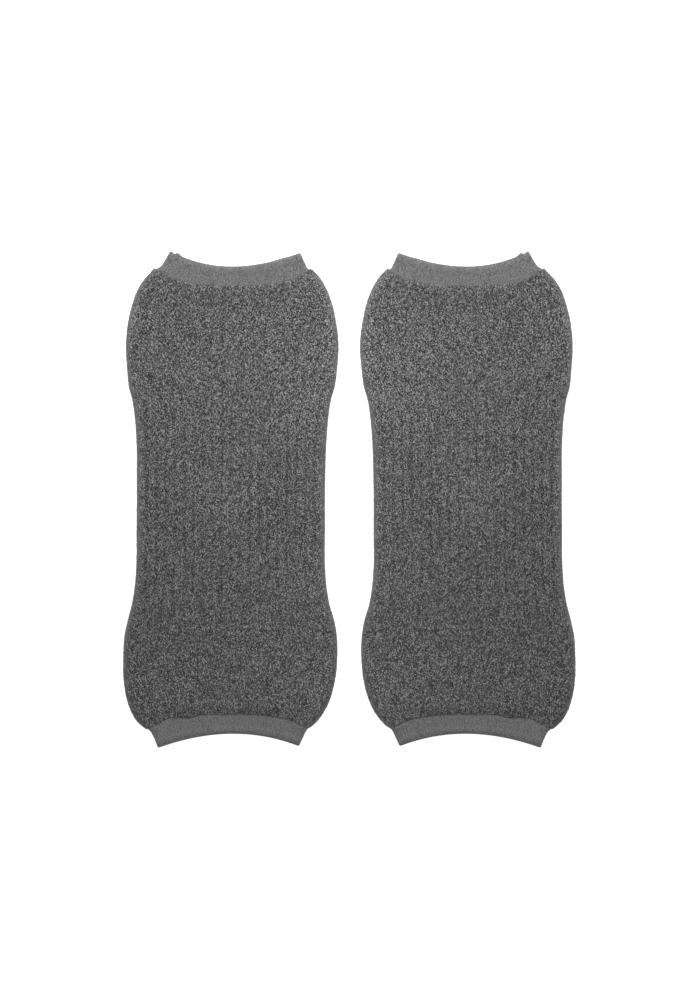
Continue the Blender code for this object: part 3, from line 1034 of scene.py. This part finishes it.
def loops_on_cloth():
    """The whole tree: scatter, turn, put an arch on each point, and pick a yarn for each."""
    tree = bpy.data.node_groups.new("loops_on_cloth", "GeometryNodeTree")
    inputs = named_inputs(tree, {
        "Cloth": "NodeSocketGeometry", "Mark": "NodeSocketString", "Spacing": "NodeSocketFloat",
        "Length": "NodeSocketFloat", "Height": "NodeSocketFloat", "Radius": "NodeSocketFloat",
        "Seed": "NodeSocketInt", **dict.fromkeys(yarns, "NodeSocketMaterial")})
    tree.interface.new_socket("Loops", in_out="OUTPUT", socket_type="NodeSocketGeometry")
    points = scattered(tree, inputs)
    upright = add(tree, "FunctionNodeAlignRotationToVector", {
        "Vector": points.outputs["Normal"]}, axis="Z")
    along_leg = add(tree, "FunctionNodeAlignRotationToVector", {
        "Rotation": upright.outputs[0], "Vector": (0.0, 1.0, 0.0)}, axis="X", pivot_axis="Z")
    sway = random_value(tree, (-LOOP_TILT, -LOOP_TILT, -LOOP_TURN), (LOOP_TILT, LOOP_TILT, LOOP_TURN),
                        math_node(tree, "ADD", inputs["Seed"], 1.0), "FLOAT_VECTOR")
    turned = add(tree, "FunctionNodeRotateRotation", {
        "Rotation": along_leg.outputs[0],
        "Rotate By": add(tree, "FunctionNodeEulerToRotation", {"Euler": sway}).outputs[0],
    }, rotation_space="LOCAL")
    arches = add(tree, "GeometryNodeInstanceOnPoints", {
        "Points": points.outputs["Points"],
        "Instance": arch_of_yarn(tree, inputs["Length"], inputs["Height"], inputs["Radius"]),
        "Rotation": turned.outputs[0],
        "Scale": random_value(tree, *LOOP_SIZES, math_node(tree, "ADD", inputs["Seed"], 2.0))})
    last_yarn = len(yarns) - 1
    numbered = add(tree, "GeometryNodeStoreNamedAttribute", {
        "Geometry": arches.outputs[0], "Name": "yarn_number",
        "Value": random_value(tree, 0, last_yarn, math_node(tree, "ADD", inputs["Seed"], 3.0), "INT"),
    }, data_type="INT", domain="INSTANCE")
    real = add(tree, "GeometryNodeRealizeInstances", {"Geometry": numbered.outputs[0]})
    smooth = add(tree, "GeometryNodeSetShadeSmooth", {0: real.outputs[0]})
    output = tree.nodes.new("NodeGroupOutput")
    tree.links.new(spun(tree, smooth.outputs[0], inputs), output.inputs["Loops"])
    return tree


loops_tree = loops_on_cloth()
print("steps in the loops' tree:", len(loops_tree.nodes))

# %% Grow the loops on both bodies
# The cloth's mark and, in metres, the least distance of two loops and the size of a loop
LOOP_SETTINGS = {
    "raised_loops": {
        "Mark": "pile", "Spacing": 0.00122, "Length": 0.00105, "Height": 0.00045, "Radius": 0.0002},
    "seam_loops": {
        "Mark": "seam_pile", "Spacing": 0.0006, "Length": 0.0013, "Height": 0.0004, "Radius": 0.0002},
}


def grown(name, cloth, tree, settings):
    """A plain mesh of what a tree grows on a piece of cloth, which itself stays as it was."""
    modifier = cloth.modifiers.new("grown", "NODES")
    modifier.node_group = tree
    for socket in tree.interface.items_tree:
        if socket.name in settings:
            modifier[socket.identifier] = settings[socket.name]
    evaluated = cloth.evaluated_get(bpy.context.evaluated_depsgraph_get())
    mesh = bpy.data.meshes.new_from_object(evaluated)
    cloth.modifiers.remove(modifier)
    mesh.calc_loop_triangles()
    print("%s: %d triangles" % (name, len(mesh.loop_triangles)))
    return placed(name, mesh)


def grow_loops(side_name, kind):
    """The loops of one kind on one body, with a seed that the length of the kind's name sets apart."""
    settings = {**LOOP_SETTINGS[kind], "Seed": SEEDS[side_name] + len(kind), **yarns}
    return grown(side_name + "_" + kind, bodies[side_name], loops_tree, settings)


loops = {
    side_name: [grow_loops(side_name, kind) for kind in LOOP_SETTINGS]
    for side_name in SIDES
}

# %% [markdown]
# ## Fine rib knit
# The cuffs are knitted from one plain grey yarn round an elastic one. Each rib is two chains of small V
# stitches, which a picture of cloth could give, but the stitch numbers of the mesh give them as well:
# the whole part of a number says which stitch it is, and the rest of it where in the stitch. Every
# stitch has a grey of its own, but close to the others. Painted shade darkens the grooves between the
# ribs a little, and the dips between the stitches.

# %% Finish of the cuffs
STITCHES_PER_RIB = 2.0
STITCH_HEIGHT = 0.5
STITCH_SLANT = 1.2
CUFF_GREY = 0.165
CLOUD_NOISE = (2.6, 4.0, 0.6)
CLOUD_TONES = (0.5, 1.5)
# Painted shade: the knit darker where stitches meet and lighter on the top of each stitch
STITCH_PAINTED_SHADE = (0.86, 1.16)
# Painted shade: the knit a little lighter on the ribs and darker in the grooves between them
GROOVE_PAINTED_SHADE = (1.05, 0.96)
CUFF_ROUGHNESS = (0.78, 0.9)
STITCH_BUMP = {"Strength": 0.5, "Distance": 0.00015}
CUFF_FINISH = {"Specular IOR Level": 0.3, "Sheen Weight": 0.08}


def bulge(tree, value):
    """Rises from 0 to 1 and falls back to 0 within each whole step of a value, as yarn does."""
    turn = math_node(tree, "MULTIPLY", math_node(tree, "FRACT", value), np.pi)
    return math_node(tree, "SINE", turn)


def rib_knit():
    """Fine elastic rib, smooth and lighter than the body."""
    material, tree, shader = new_material("fine_rib_knit", CUFF_FINISH)
    numbers = stitch_numbers(tree)
    place = add(tree, "ShaderNodeSeparateXYZ", {"Vector": numbers})
    stitches = math_node(tree, "MULTIPLY", place.outputs["X"], STITCHES_PER_RIB)
    legs = math_node(tree, "MULTIPLY", stitches, 2.0)
    from_middle = math_node(tree, "PINGPONG", math_node(tree, "ADD", stitches, 0.5), 0.5)
    rows = math_node(tree, "DIVIDE", place.outputs["Y"], STITCH_HEIGHT)
    rows = math_node(tree, "ADD", rows, math_node(tree, "MULTIPLY", from_middle, STITCH_SLANT))
    stitch = add(tree, "ShaderNodeCombineXYZ", {
        "X": math_node(tree, "FLOOR", legs), "Y": math_node(tree, "FLOOR", rows)}).outputs[0]
    stitch_grey = add(tree, "ShaderNodeTexWhiteNoise", {"Vector": stitch}, noise_dimensions="2D")
    yarn = math_node(tree, "MULTIPLY", bulge(tree, legs), bulge(tree, rows))
    clouds = flat_noise(tree, numbers, *CLOUD_NOISE)["Fac"]
    from_plain = math_node(tree, "SUBTRACT", stitch_grey.outputs["Value"], 0.5)
    from_plain = math_node(tree, "MULTIPLY", from_plain, mark_value(tree, "marl"))
    tone = math_node(tree, "ADD", from_plain, 1.0)
    painted_groove_shade = mark_value(tree, "painted_groove_shade")
    # Painted shade in the dips between stitches and in the grooves between ribs
    for value, tones in ((clouds, CLOUD_TONES), (yarn, STITCH_PAINTED_SHADE), (painted_groove_shade, GROOVE_PAINTED_SHADE)):
        tone = math_node(tree, "MULTIPLY", tone, spread(tree, value, *tones))
    plain = opaque(CUFF_GREY)[:3]
    colour = add(tree, "ShaderNodeVectorMath", {0: plain, "Scale": tone}, operation="SCALE").outputs[0]
    tree.links.new(colour, shader.inputs["Base Color"])

    bump = add(tree, "ShaderNodeBump", {"Height": yarn, **STITCH_BUMP})
    tree.links.new(bump.outputs["Normal"], shader.inputs["Normal"])
    tree.links.new(spread(tree, clouds, *CUFF_ROUGHNESS), shader.inputs["Roughness"])
    return material


fine_rib = rib_knit()
for cuff in cuffs.values():
    cuff.data.materials.append(fine_rib)
print("finish of the cuffs:", fine_rib.name)

# %% [markdown]
# ## Handing the pieces to the frame
# Each knitted piece stands for its plain solid, which is hidden, and rides on the one body of the row.
# The flat cut that each sheet of cloth was made from is worked out too. For a tube that is its girth
# by its length, and its area is the sum of the girths of all its rows.

# %% Flat cut of each piece
def flat_cut(table, bow_at, fold_reach):
    """Width and length in metres of the cut all round a tube, and its area in square metres.

    An end's bow is a shallow arch, so its mean lies two thirds of the way from the side to the middle.
    """
    fine = Section(*smooth_table(table).T)
    girth = 2.0 * half_girth(fine, fold_reach) * MM
    side_length = (fine.along.max() - fine.along.min()) * MM
    middle = place_along(fine.along, bow_at(fine.along), 0.0) * MM
    middle_length = abs(middle[-1] - middle[0])
    length = max(side_length, middle_length)
    mean_length = (side_length + 2.0 * middle_length) / 3.0
    area = np.average(girth, weights=np.abs(np.gradient(fine.along))) * mean_length
    return (round(float(girth.max()), 4), round(float(length), 4)), float(area)


def hand_over(piece, node):
    """Puts one knitted piece on the root body and hides the solid that it stands for."""
    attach(piece, "root")
    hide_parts(node)


for side_name in SIDES:
    cut = flat_cut(BODY_SECTIONS, body_bow, BODY_FOLD_REACH)
    for piece in loops[side_name]:
        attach(piece, "root")
    hand_over(bodies[side_name], side_name + "_body")
    for cuff_name, cuff in CUFFS.items():
        cut = flat_cut(cuff.sections, cuff.bow_at, CUFF_FOLD_REACH)
        hand_over(cuffs[side_name, cuff_name], side_name + "_" + cuff_name)

# %% [markdown]
# ## Surface, light and camera
# The pair is seen straight from above on a white surface, in even studio light that is a little
# stronger from the thigh end. A lamp alone would leave dark shadows, and a sky alone would hide the
# creases. So a wide lamp gives the fall of light, the sky fills the rest, and the surface glows a
# little, so that it stays white and the shadows stay faint.

# %% White surface
SURFACE_HALF = 30.0
SURFACE_LEVEL = -0.0003
SURFACE_FINISH = {
    "Base Color": opaque(0.8),
    "Roughness": 1.0,
    "Specular IOR Level": 0.0,
    "Emission Color": opaque(1.0),
    "Emission Strength": 0.85,
}

surface_mesh = bpy.data.meshes.new("surface")
corners = [(side_x * SURFACE_HALF, side_y * SURFACE_HALF, SURFACE_LEVEL)
           for side_x, side_y in ((-1.0, -1.0), (1.0, -1.0), (1.0, 1.0), (-1.0, 1.0))]
surface_mesh.from_pydata(corners, [], [(0, 1, 2, 3)])
surface_mesh.materials.append(new_material("white_surface", SURFACE_FINISH)[0])
placed("surface", surface_mesh)
print("surface:", 2.0 * SURFACE_HALF, "m wide, large enough for every view")

# %% Sky and lamp
SKY_STRENGTH = 0.36
LAMP_PLACE = (0.0, 0.72, 0.66)
LAMP_SIZE = 0.5
LAMP_POWER = 9.0

world = bpy.data.worlds.new("sky")
world.use_nodes = True
sky = world.node_tree.nodes["Background"]
sky.inputs["Color"].default_value = opaque(1.0)
sky.inputs["Strength"].default_value = SKY_STRENGTH
bpy.context.scene.world = world

lamp_data = bpy.data.lights.new("lamp", "AREA")
lamp_data.shape = "SQUARE"
lamp_data.size = LAMP_SIZE
lamp_data.energy = LAMP_POWER
lamp = placed("lamp", lamp_data)
lamp.location = LAMP_PLACE
lamp.rotation_euler = (-Vector(LAMP_PLACE)).to_track_quat("-Z", "Y").to_euler()
bpy.context.scene.view_settings.view_transform = "Standard"
print("lamp:", LAMP_POWER, "W, sky:", SKY_STRENGTH)

# %% Camera straight above
# In metres: how much the photo shows from top to bottom, the height at which the outline of the pair
# lies, and the place under the photo's middle
PHOTO_HEIGHT = 0.6053
OUTLINE_HEIGHT = 0.0033
CENTRE_X = 0.00042
CENTRE_Y = -0.00024

# In millimetres, as on a real camera
SENSOR = 36.0
LENS = 85.0

camera_data = bpy.data.cameras.new("camera")
camera_data.sensor_width = SENSOR
camera_data.lens = LENS
camera = placed("camera", camera_data)
camera.location = (CENTRE_X, CENTRE_Y, OUTLINE_HEIGHT + PHOTO_HEIGHT * LENS / SENSOR)
bpy.context.scene.camera = camera
print("camera: %.3f m above the surface" % camera.location.z)
